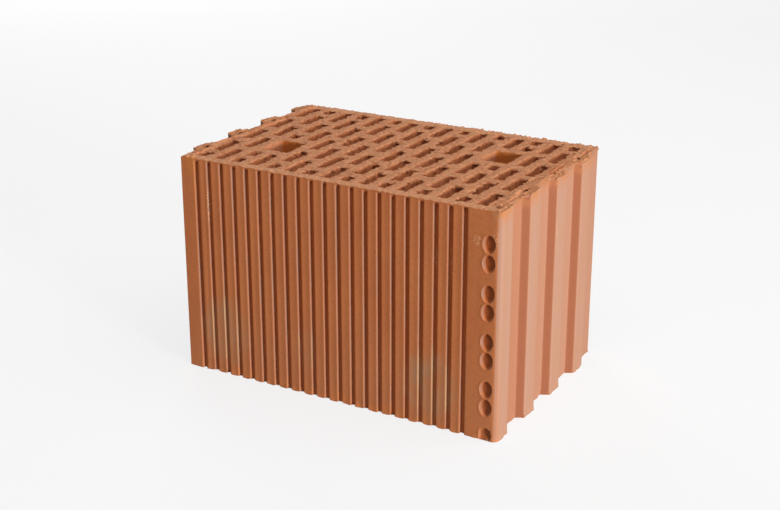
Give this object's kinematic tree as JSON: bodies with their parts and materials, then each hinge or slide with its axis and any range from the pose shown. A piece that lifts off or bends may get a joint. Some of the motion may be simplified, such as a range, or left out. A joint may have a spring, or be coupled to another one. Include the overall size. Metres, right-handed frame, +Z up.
{
  "type": "hollow clay block",
  "caption": "Fired clay wall block with staggered vertical slots, grip holes, grooved long faces and tongue-and-groove ends",
  "frame": {"origin": "middle of the bottom bed face, on the level it stands on", "axes": "+X along the length towards the end whose front corner is a tongue, -Y the grooved front with the row of dimples, +Z up along the slots"},
  "size_m": [0.382, 0.25, 0.238],
  "materials": {
    "fired_clay": "matte"
  },
  "bodies": {
    "root": {"clay_block": "fired_clay"}
  },
  "joints": []
}
